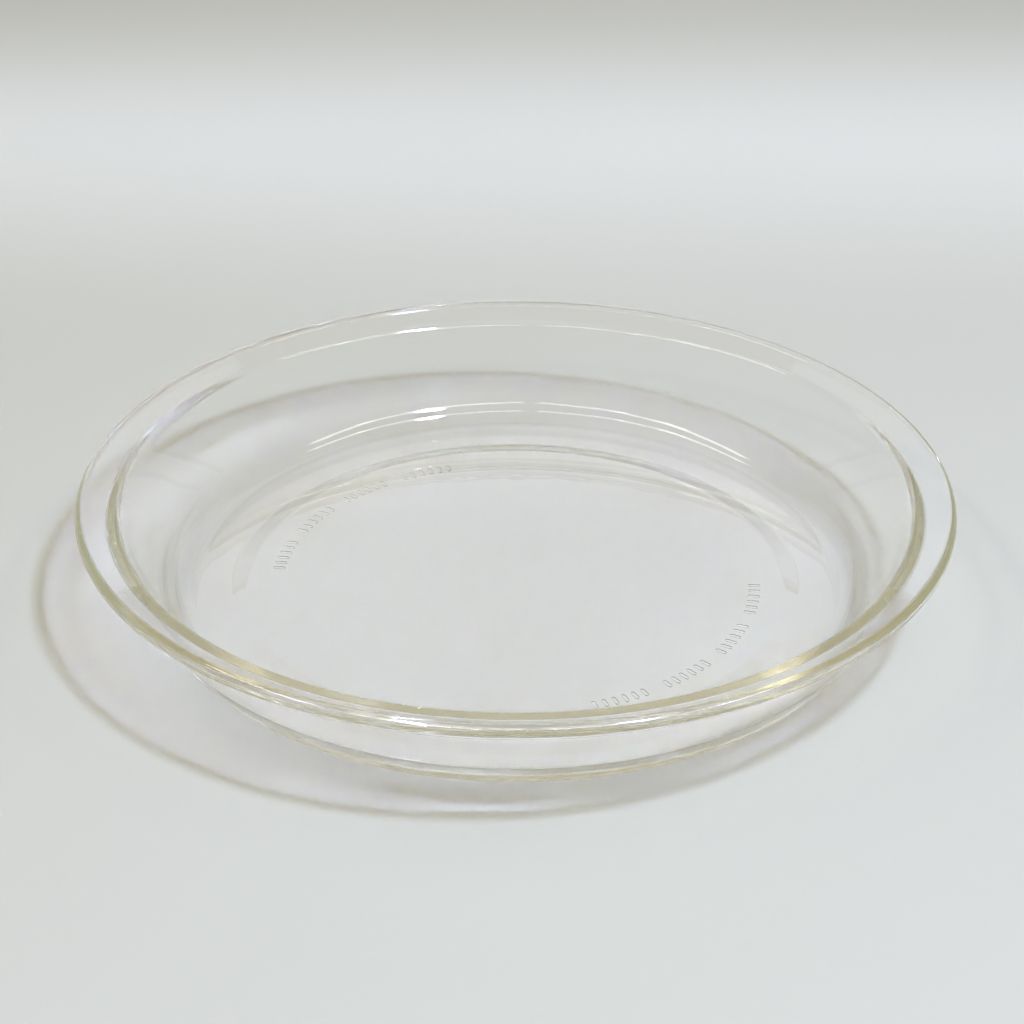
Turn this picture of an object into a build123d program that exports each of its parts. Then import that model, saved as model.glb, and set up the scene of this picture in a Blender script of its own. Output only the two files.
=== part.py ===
from build123d import *
import os
from math import cos, degrees, radians, sin, tan

# Round pie dish of clear pressed glass, one moulding.
# Lengths are in millimetres and angles in degrees. The origin is on the surface that the dish
# stands on, under the middle of its bottom, with +Z up.

# Overall size
rim_diameter = 242.0
dish_height = 34.2

# Wall and bottom. The wall's two faces lean a little apart, so that it thickens up to the flange.
bottom_thickness = 4.5
wall_thickness = 3.9
wall_angle = 63.7
outer_wall_angle = 61.9
floor_round_radius = 11.2
bottom_round_radius = 12.2

# Flange round the top, from the inner corner out to the edge
rim_width = 11.6
rim_thickness = 3.9
rim_tilt = 16.6
rim_inner_round_radius = 4.0
rim_under_round_radius = 1.4

# Foot that the dish stands on, and the shallow recess inside it
foot_width = 17.5
foot_recess = 0.5
foot_ramp = 5.0
foot_round_radius = 12.0

# Raised marks on the underside, two arcs of short bars in the foot's recess
mark_inset = 8.0
mark_length = 3.6
mark_width = 1.3
mark_height = 0.3
mark_root = 0.5
mark_pitch = 2.9
mark_group_gap = 7.5
mark_taper = 12.0
marks_in_group = 6
groups_in_arc = 4
arc_middles = (142.0, 322.0)


def along(point, angle, distance):
    """The point at a distance from another, in a direction of the section's plane."""
    return (point[0] + distance * cos(radians(angle)), point[1] + distance * sin(radians(angle)))


def at_radius(point, angle, radius):
    """The point at a radius from the dish's axis, on the line through another point."""
    return (radius, point[1] + (radius - point[0]) * tan(radians(angle)))


def at_height(point, angle, height):
    """The point at a height over the foot, on the line through another point."""
    return (point[0] + (height - point[1]) / tan(radians(angle)), height)


def crossing(first, first_angle, second, second_angle):
    """Where two lines of the section cross, each given by a point and its direction."""
    first_slope = tan(radians(first_angle))
    second_slope = tan(radians(second_angle))
    rise = second[1] - first[1] + first_slope * first[0] - second_slope * second[0]
    return at_radius(first, first_angle, rise / (first_slope - second_slope))


# The edge is a full round, so its middle lies half a thickness inside the rim and under the top
rim_radius = rim_diameter / 2
edge_radius = rim_thickness / 2
edge_middle = (rim_radius - edge_radius, dish_height - edge_radius)
edge_top = along(edge_middle, rim_tilt + 90, edge_radius)
edge_tip = along(edge_middle, rim_tilt, edge_radius)
edge_bottom = along(edge_middle, rim_tilt - 90, edge_radius)

# Corners of the section before they are rounded, down the inside and then up the outside
rim_inner_corner = at_radius(edge_top, rim_tilt, rim_radius - rim_width)
floor_corner = at_height(rim_inner_corner, wall_angle, bottom_thickness)
outside_of_wall = along(floor_corner, wall_angle - 90, wall_thickness)
rim_under_corner = crossing(outside_of_wall, outer_wall_angle, edge_bottom, rim_tilt)
bottom_corner = at_height(outside_of_wall, outer_wall_angle, 0)
foot_inside = (bottom_corner[0] - foot_width, 0)
recess_edge = (foot_inside[0] - foot_ramp, foot_recess)

rounds = (
    (floor_corner, floor_round_radius),
    (rim_inner_corner, rim_inner_round_radius),
    (rim_under_corner, rim_under_round_radius),
    (bottom_corner, bottom_round_radius),
    (foot_inside, foot_round_radius),
    (recess_edge, foot_round_radius),
)

# Angles of the marks round their ring, from their spacing along it
mark_ring_radius = recess_edge[0] - mark_inset
mark_step = degrees(mark_pitch / mark_ring_radius)
group_span = mark_step * (marks_in_group - 1)
group_step = degrees(mark_group_gap / mark_ring_radius) + group_span
arc_span = group_step * (groups_in_arc - 1) + group_span


with BuildPart() as dish:
    with BuildSketch(Plane.XZ) as section:
        with BuildLine():
            Polyline((0, bottom_thickness), (0, foot_recess), recess_edge, foot_inside, bottom_corner)
            Polyline(bottom_corner, rim_under_corner, edge_bottom)
            ThreePointArc(edge_bottom, edge_tip, edge_top)
            Polyline(edge_top, rim_inner_corner, floor_corner, (0, bottom_thickness))
        make_face()
        for corner, radius in rounds:
            fillet(section.vertices().sort_by_distance(corner)[0], radius)
    revolve(axis=Axis.Z)

    with BuildSketch(Plane.XY.offset(foot_recess + mark_root)):
        for arc_middle in arc_middles:
            for group in range(groups_in_arc):
                with PolarLocations(
                    mark_ring_radius,
                    marks_in_group,
                    start_angle=arc_middle - arc_span / 2 + group * group_step,
                    angular_range=group_span,
                    endpoint=True,
                ):
                    SlotOverall(mark_length, mark_width)
    extrude(amount=mark_root + mark_height, dir=(0, 0, -1), taper=mark_taper)

os.makedirs("parts", exist_ok=True)
dish.part.label = "dish"
export_step(dish.part, "parts/dish.step")
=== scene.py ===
from math import atan, atan2, ceil, cos, degrees, dist, pi, radians, sin, tan

import bpy
from mathutils import Matrix, Vector


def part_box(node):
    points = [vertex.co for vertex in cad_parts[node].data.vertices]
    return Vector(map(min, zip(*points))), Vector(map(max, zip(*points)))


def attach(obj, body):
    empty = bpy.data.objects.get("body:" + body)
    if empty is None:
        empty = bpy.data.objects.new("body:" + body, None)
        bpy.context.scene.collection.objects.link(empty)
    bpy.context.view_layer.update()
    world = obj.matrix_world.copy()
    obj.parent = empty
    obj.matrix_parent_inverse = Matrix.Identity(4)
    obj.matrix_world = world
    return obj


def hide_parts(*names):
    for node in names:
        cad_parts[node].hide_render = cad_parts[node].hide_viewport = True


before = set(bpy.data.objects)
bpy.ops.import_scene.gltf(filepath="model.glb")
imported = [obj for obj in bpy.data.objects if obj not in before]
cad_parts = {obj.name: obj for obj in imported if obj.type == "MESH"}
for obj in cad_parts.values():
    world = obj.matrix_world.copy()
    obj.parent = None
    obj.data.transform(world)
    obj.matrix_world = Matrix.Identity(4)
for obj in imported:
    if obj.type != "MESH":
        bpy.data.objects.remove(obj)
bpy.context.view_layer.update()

# Round pie dish of clear pressed glass, one moulding, on a pale studio floor.
# Lengths are in metres, most of them written in millimetres, and angles are in degrees.
mm = 0.001

# Sizes of the glass. The rim and the height are the frame's own, less a hair, so that rounding
# keeps them inside the frame's box.
hair = 0.001 * mm
dish_low, dish_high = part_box("dish")
rim_radius = min(dish_high.x, dish_high.y, -dish_low.x, -dish_low.y) - hair
dish_height = dish_high.z - hair
bottom_thickness = 4.5 * mm
wall_thickness = 3.9 * mm
wall_angle = 63.7
outer_wall_angle = 61.9
floor_round_radius = 11.2 * mm
bottom_round_radius = 12.2 * mm
rim_width = 11.6 * mm
rim_thickness = 3.9 * mm
rim_tilt = 16.6
rim_inner_round_radius = 4.0 * mm
rim_under_round_radius = 1.4 * mm
foot_width = 17.5 * mm
foot_recess = 0.5 * mm
foot_ramp = 5.0 * mm
foot_round_radius = 12.0 * mm

# Raised marks on the underside, two arcs of short bars
mark_inset = 8.0 * mm
mark_length = 3.6 * mm
mark_width = 1.3 * mm
mark_height = 0.3 * mm
mark_root = 0.5 * mm
mark_pitch = 2.9 * mm
mark_group_gap = 7.5 * mm
mark_taper = 12.0
marks_in_group = 6
groups_in_arc = 4
arc_middles = (142.0, 322.0)

# How finely the glass is cut into faces
faces_round = 480
facet_turn = 4.0
least_facets = 5
longest_facet = 6.0 * mm
end_facet = 0.25 * mm
mark_end_facets = 8
weld_distance = 0.002 * mm
sharpest_smooth_edge = 30.0


# Points of the section, each a pair of radius and height

def along(point, angle, distance):
    """The point at a distance from another, in a direction of the section's plane."""
    return (point[0] + distance * cos(radians(angle)), point[1] + distance * sin(radians(angle)))


def at_radius(point, angle, radius):
    """The point at a radius from the dish's axis, on the line through another point."""
    return (radius, point[1] + (radius - point[0]) * tan(radians(angle)))


def at_height(point, angle, height):
    """The point at a height over the foot, on the line through another point."""
    return (point[0] + (height - point[1]) / tan(radians(angle)), height)


def crossing(first, first_angle, second, second_angle):
    """Where two lines of the section cross, each given by a point and its direction."""
    first_slope = tan(radians(first_angle))
    second_slope = tan(radians(second_angle))
    rise = second[1] - first[1] + first_slope * first[0] - second_slope * second[0]
    return at_radius(first, first_angle, rise / (first_slope - second_slope))


def direction(start, end):
    """The angle of the line from one point of the section to another."""
    return degrees(atan2(end[1] - start[1], end[0] - start[0]))


# The edge is a full round, drawn as two square corners that are rounded by half its thickness
edge_radius = rim_thickness / 2
edge_middle = (rim_radius - edge_radius, dish_height - edge_radius)
edge_top = along(edge_middle, rim_tilt + 90, edge_radius)
edge_bottom = along(edge_middle, rim_tilt - 90, edge_radius)

rim_inner_corner = at_radius(edge_top, rim_tilt, rim_radius - rim_width)
floor_corner = at_height(rim_inner_corner, wall_angle, bottom_thickness)
outside_of_wall = along(floor_corner, wall_angle - 90, wall_thickness)
rim_under_corner = crossing(outside_of_wall, outer_wall_angle, edge_bottom, rim_tilt)
bottom_corner = at_height(outside_of_wall, outer_wall_angle, 0)
foot_inside = (bottom_corner[0] - foot_width, 0)
recess_edge = (foot_inside[0] - foot_ramp, foot_recess)

# The outline runs out along the underside, up the outside, round the edge and back down the inside
outline_start = (0, foot_recess)
outline_end = (0, bottom_thickness)
outline_corners = (
    (recess_edge, foot_round_radius),
    (foot_inside, foot_round_radius),
    (bottom_corner, bottom_round_radius),
    (rim_under_corner, rim_under_round_radius),
    (along(edge_bottom, rim_tilt, edge_radius), edge_radius),
    (along(edge_top, rim_tilt, edge_radius), edge_radius),
    (rim_inner_corner, rim_inner_round_radius),
    (floor_corner, floor_round_radius),
)

# Angles of the marks round their ring, from their spacing along it
mark_ring_radius = recess_edge[0] - mark_inset
mark_step = degrees(mark_pitch / mark_ring_radius)
group_span = mark_step * (marks_in_group - 1)
group_step = degrees(mark_group_gap / mark_ring_radius) + group_span
arc_span = group_step * (groups_in_arc - 1) + group_span


# Modelling

def leave_edit_mode():
    bpy.ops.object.mode_set(mode="OBJECT")


def add_point(place):
    """A new mesh of one point, left selected in edit mode."""
    bpy.ops.mesh.primitive_plane_add(size=1, enter_editmode=True)
    bpy.ops.mesh.merge(type="CENTER")
    bpy.ops.transform.translate(value=place)


def pull(way):
    """Extrudes what is selected along a vector."""
    bpy.ops.mesh.extrude_region_move(TRANSFORM_OT_translate={"value": way})


def pull_point(angle, distance):
    """Extrudes the selected point of the outline over a distance, in a direction of the section."""
    right, up = along((0, 0), angle, distance)
    pull((right, 0, up))


def draw_straight(here, there):
    """Extrudes the selected point along a straight, with a short facet at each end that keeps the
    shading flat up to the rounds."""
    angle = direction(here, there)
    length = dist(here, there) - 2 * end_facet
    facets = ceil(length / longest_facet)
    pull_point(angle, end_facet)
    for _ in range(facets):
        pull_point(angle, length / facets)
    pull_point(angle, end_facet)


def draw_round(begin, angle, turn, radius):
    """Spins the selected point round a corner to the left, or to the right where the turn is below
    zero, and gives the point where the round ends."""
    side = 90 if turn > 0 else -90
    middle = along(begin, angle + side, radius)
    facets = max(least_facets, ceil(abs(turn) / facet_turn))
    bpy.ops.mesh.spin(
        steps=facets,
        angle=radians(turn),
        center=(middle[0], 0, middle[1]),
        axis=(0, 1, 0),
    )
    return along(middle, angle - side + turn, radius)


def draw_outline():
    """The dish's section as a chain of edges from the axis round to the axis."""
    add_point((outline_start[0], 0, outline_start[1]))
    corners = [outline_start, *(corner for corner, _ in outline_corners), outline_end]
    here = outline_start
    for before, (corner, radius), after in zip(corners, outline_corners, corners[2:]):
        angle = direction(before, corner)
        turn = (direction(corner, after) - angle + 180) % 360 - 180
        begin = along(corner, angle, -radius * tan(radians(abs(turn) / 2)))
        if dist(here, begin) > 2 * end_facet:
            draw_straight(here, begin)
        here = draw_round(begin, angle, turn, radius)
    draw_straight(here, outline_end)


def spin_section(name, steps):
    """Spins the drawn section once round the dish's axis, and welds it at the seam and the poles."""
    bpy.ops.mesh.select_all(action="SELECT")
    bpy.ops.mesh.spin(steps=steps, angle=2 * pi, center=(0, 0, 0), axis=(0, 0, 1))
    bpy.ops.mesh.select_all(action="SELECT")
    bpy.ops.mesh.remove_doubles(threshold=weld_distance)
    bpy.ops.mesh.normals_make_consistent(inside=False)
    leave_edit_mode()
    spun = bpy.context.object
    spun.name = spun.data.name = name
    return spun


def select_only(*objects):
    """Leaves just these objects selected, with the first as the active one."""
    bpy.ops.object.select_all(action="DESELECT")
    for selected in objects:
        selected.select_set(True)
    bpy.context.view_layer.objects.active = objects[0]


def shape_mark():
    """One raised bar: a slot's outline, filled, pulled down through the recess and tapered."""
    half_straight = (mark_length - mark_width) / 2
    depth = mark_root + mark_height
    taper = 2 * depth * tan(radians(mark_taper))
    bpy.ops.object.select_all(action="DESELECT")
    add_point((-half_straight, -mark_width / 2, 0))
    for end in (1, -1):
        pull((2 * end * half_straight, 0, 0))
        bpy.ops.mesh.spin(
            steps=mark_end_facets,
            angle=radians(180),
            center=(end * half_straight, 0, 0),
            axis=(0, 0, -1),
        )
    bpy.ops.mesh.select_all(action="SELECT")
    bpy.ops.mesh.remove_doubles(threshold=weld_distance)
    bpy.ops.mesh.edge_face_add()
    pull((0, 0, -depth))
    bpy.ops.transform.resize(value=(1 - taper / mark_length, 1 - taper / mark_width, 1))
    bpy.ops.mesh.select_all(action="SELECT")
    bpy.ops.mesh.normals_make_consistent(inside=False)
    leave_edit_mode()
    mark = bpy.context.object
    mark.location = (mark_ring_radius, 0, foot_recess + mark_root)
    bpy.ops.object.transform_apply(location=True, rotation=False, scale=False)
    return mark


def mark_angles():
    """The angle round the dish of every mark."""
    for middle in arc_middles:
        for group in range(groups_in_arc):
            for mark in range(marks_in_group):
                yield middle - arc_span / 2 + group * group_step + mark * mark_step


def copy_marks():
    """All the raised bars as one object, turned to their places round the ring."""
    first = shape_mark()
    copies = []
    for angle in mark_angles():
        select_only(first)
        bpy.ops.object.duplicate()
        copy = bpy.context.object
        copy.rotation_euler.z = radians(angle)
        bpy.ops.object.transform_apply(location=False, rotation=True, scale=False)
        copies.append(copy)
    bpy.data.objects.remove(first)
    select_only(*copies)
    bpy.ops.object.join()
    return bpy.context.object


def raise_marks(dish):
    """Joins the raised bars to the dish's underside, as one body of glass."""
    marks = copy_marks()
    select_only(dish)
    union = dish.modifiers.new("raised marks", "BOOLEAN")
    union.operation = "UNION"
    union.solver = "EXACT"
    union.object = marks
    bpy.ops.object.modifier_apply(modifier=union.name)
    bpy.data.objects.remove(marks)


def make_dish():
    """The whole dish as one finished body of glass."""
    bpy.ops.object.select_all(action="DESELECT")
    draw_outline()
    dish = spin_section("pie_dish", faces_round)
    raise_marks(dish)
    select_only(dish)
    bpy.ops.object.shade_smooth_by_angle(angle=radians(sharpest_smooth_edge))
    dish.data.materials.append(pressed_glass())
    return dish


# Materials

def linear(hex_colour):
    """The linear colour, with full alpha, of an sRGB hex value."""
    shares = [int(hex_colour[place:place + 2], 16) / 255 for place in (1, 3, 5)]
    return (*(s / 12.92 if s <= 0.04045 else ((s + 0.055) / 1.055) ** 2.4 for s in shares), 1.0)


def add_node(tree, kind, inputs=(), **settings):
    """Adds a node with its settings, and fills or links its inputs."""
    node = tree.nodes.new(kind)
    for name, value in settings.items():
        setattr(node, name, value)
    for name, value in dict(inputs).items():
        if isinstance(value, bpy.types.NodeSocket):
            tree.links.new(value, node.inputs[name])
        else:
            node.inputs[name].default_value = value
    return node


def empty_material(name):
    """A new material with no nodes, and its node tree."""
    material = bpy.data.materials.new(name)
    material.use_nodes = True
    material.node_tree.nodes.clear()
    return material, material.node_tree


glass_ior = 1.474
glass_straw_tint = "#f0ecc8"
glass_tint_per_metre = 4.5
glass_wave_length = 14.0 * mm
glass_wave_height = 0.03 * mm
glass_wave_detail = 2.5


def pressed_glass():
    """Borosilicate glass, pressed and fire polished: a sharp gloss, slight waves from the mould that
    make the reflections waver, and a straw tint that only gathers where the glass is seen edge on."""
    material, tree = empty_material("pressed_borosilicate_glass")
    place = add_node(tree, "ShaderNodeTexCoord")
    waves = add_node(
        tree,
        "ShaderNodeTexNoise",
        {
            "Vector": place.outputs["Object"],
            "Scale": 1 / glass_wave_length,
            "Detail": glass_wave_detail,
        },
    )
    relief = add_node(
        tree,
        "ShaderNodeBump",
        {"Height": waves.outputs["Fac"], "Distance": glass_wave_height, "Strength": 1.0},
    )
    gloss = add_node(
        tree,
        "ShaderNodeBsdfPrincipled",
        {
            "Base Color": (1, 1, 1, 1),
            "Roughness": 0.0,
            "IOR": glass_ior,
            "Transmission Weight": 1.0,
            "Normal": relief.outputs["Normal"],
        },
    )
    tint = add_node(
        tree,
        "ShaderNodeVolumeAbsorption",
        {"Color": linear(glass_straw_tint), "Density": glass_tint_per_metre},
    )
    add_node(
        tree,
        "ShaderNodeOutputMaterial",
        {"Surface": gloss.outputs["BSDF"], "Volume": tint.outputs["Volume"]},
    )
    return material


paper_colour = "#bbbcb2"
paper_roughness = 0.85
paper_sheen = 0.2
paper_grain = 0.9 * mm
paper_grain_height = 0.01 * mm


def studio_paper():
    """Matt pale backdrop paper: no gloss, with a grain that is only just there."""
    material, tree = empty_material("matt_backdrop_paper")
    place = add_node(tree, "ShaderNodeTexCoord")
    grain = add_node(
        tree,
        "ShaderNodeTexNoise",
        {"Vector": place.outputs["Object"], "Scale": 1 / paper_grain},
    )
    relief = add_node(
        tree,
        "ShaderNodeBump",
        {"Height": grain.outputs["Fac"], "Distance": paper_grain_height},
    )
    matt = add_node(
        tree,
        "ShaderNodeBsdfPrincipled",
        {
            "Base Color": linear(paper_colour),
            "Roughness": paper_roughness,
            "Specular IOR Level": paper_sheen,
            "Normal": relief.outputs["Normal"],
        },
    )
    add_node(tree, "ShaderNodeOutputMaterial", {"Surface": matt.outputs["BSDF"]})
    return material


# Stage, a floor that curves up all round the dish into a backdrop

floor_gap = 0.01 * mm
floor_radius = 0.85
sweep_radius = 0.50
backdrop_height = 1.0
stage_facets = 96


def make_stage():
    """The floor and backdrop as a wide bowl, its section spun once round the dish's axis."""
    bpy.ops.object.select_all(action="DESELECT")
    add_point((0, 0, -floor_gap))
    pull_point(0, floor_radius)
    draw_round((floor_radius, -floor_gap), 0, 90, sweep_radius)
    pull_point(90, backdrop_height - sweep_radius)
    floor = spin_section("studio_floor", stage_facets)
    bpy.ops.object.shade_smooth()
    floor.data.materials.append(studio_paper())


# Light: a window high on the right, a broken row of white panels over the camera, whose images are
# the long bright lines in the glass, and the warm light of the room

key_place = Vector((0.47, -0.52, 1.2))
key_size = 0.18
key_power = 18.2
key_colour = "#c8d8ff"

panel_distance = 1.6
panel_elevation = 56.0
panel_height = 0.11
panel_glow = 8.0
panel_colour = "#fffaf0"

# Each panel's angle round the dish, from the camera's side towards the right, and its width
panels = (
    (-94.0, 0.95),
    (-64.0, 0.60),
    (-29.5, 0.66),
    (19.5, 0.74),
    (56.0, 0.60),
    (87.0, 0.60),
)

# A long lamp that hangs behind the dish and lights only the paper there
strip_place = Vector((0, 0.36, 0.70))
strip_width = 0.90
strip_height = 0.08
strip_spread = 30.0
strip_power = 0.27
strip_colour = "#d8e0ff"

# A faint window behind the dish and above the picture, which the flat bottom mirrors
rear_place = Vector((0, 0.60, 0.385))
rear_width = 0.80
rear_height = 0.32
rear_glow = 0.5
rear_colour = "#dce4ff"

room_colour = "#ffebc8"
room_strength = 0.46


def toward(azimuth, elevation):
    """The direction from the dish at an angle round it from the camera's side, and an angle up."""
    turn = radians(azimuth)
    level, rise = along((0, 0), elevation, 1)
    return Vector((level * sin(turn), -level * cos(turn), rise))


def hang_light(name, place, size, power, colour, aim=(0, 0, 0)):
    """Hangs an area light of a width and a height that faces the dish, or another point."""
    light = bpy.data.lights.new(name, "AREA")
    light.shape = "RECTANGLE"
    light.size, light.size_y = size
    light.energy = power
    light.color = linear(colour)[:3]
    lamp = bpy.data.objects.new(name, light)
    lamp.visible_camera = False
    lamp.location = place
    lamp.rotation_euler = (Vector(aim) - place).to_track_quat("-Z", "Y").to_euler()
    bpy.context.collection.objects.link(lamp)
    return light


def hang_panel(name, place, size, glow, colour):
    """Hangs a panel that glows evenly, as bright as its glow says at any size."""
    width, height = size
    hang_light(name, place, size, glow * pi * width * height, colour)


def make_lights():
    """The window, the row of panels, the rear window and the strip over the paper."""
    key = hang_light("window", key_place, (key_size, key_size), key_power, key_colour)
    key.shape = "DISK"
    for azimuth, width in panels:
        place = panel_distance * toward(azimuth, panel_elevation)
        hang_panel("panel", place, (width, panel_height), panel_glow, panel_colour)
    hang_panel("rear", rear_place, (rear_width, rear_height), rear_glow, rear_colour)
    strip_aim = (strip_place.x, strip_place.y, 0)
    strip_size = (strip_width, strip_height)
    strip = hang_light("strip", strip_place, strip_size, strip_power, strip_colour, strip_aim)
    strip.spread = radians(strip_spread)


def make_room():
    """The room round the stage, an even warm light from every side."""
    world = bpy.data.worlds.new("room")
    world.use_nodes = True
    world.node_tree.nodes.clear()
    room = add_node(
        world.node_tree,
        "ShaderNodeBackground",
        {"Color": linear(room_colour), "Strength": room_strength},
    )
    add_node(world.node_tree, "ShaderNodeOutputWorld", {"Surface": room.outputs["Background"]})
    bpy.context.scene.world = world


# Camera, from where the photograph was taken

picture_size = 1024
sensor_width = 36.0
focal_pixels = 2319.35
view_distance = 660.76 * mm
view_elevation = 31.30
view_roll = -0.14
origin_column = 515.62
origin_row = 584.62


def make_camera():
    """Stands the camera in front, tilted and turned so that the dish lies at its place in the picture."""
    lens = bpy.data.cameras.new("camera")
    lens.sensor_width = sensor_width
    lens.lens = sensor_width * focal_pixels / picture_size
    camera = bpy.data.objects.new("camera", lens)
    middle = picture_size / 2
    tilt_up = atan((origin_row - middle) / focal_pixels)
    turn_left = atan((origin_column - middle) / focal_pixels)
    camera.matrix_world = (
        Matrix.Translation(view_distance * toward(0, view_elevation))
        @ Matrix.Rotation(radians(90 - view_elevation) + tilt_up, 4, "X")
        @ Matrix.Rotation(turn_left, 4, "Y")
        @ Matrix.Rotation(radians(-view_roll), 4, "Z")
    )
    bpy.context.collection.objects.link(camera)
    bpy.context.scene.camera = camera


# How the picture is worked out

light_bounces = 64
floor_bounces = 6


def set_up_picture():
    """Lets light through every wall of the glass, and keeps the sharp light that it throws."""
    scene = bpy.context.scene
    scene.view_settings.view_transform = "Standard"
    scene.cycles.max_bounces = light_bounces
    scene.cycles.transmission_bounces = light_bounces
    scene.cycles.glossy_bounces = light_bounces
    scene.cycles.diffuse_bounces = floor_bounces
    scene.cycles.use_denoising = True
    scene.cycles.sample_clamp_indirect = 0.0
    scene.cycles.blur_glossy = 0.0


dish = make_dish()
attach(dish, "root")
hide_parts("dish")
make_stage()
make_lights()
make_room()
make_camera()
set_up_picture()
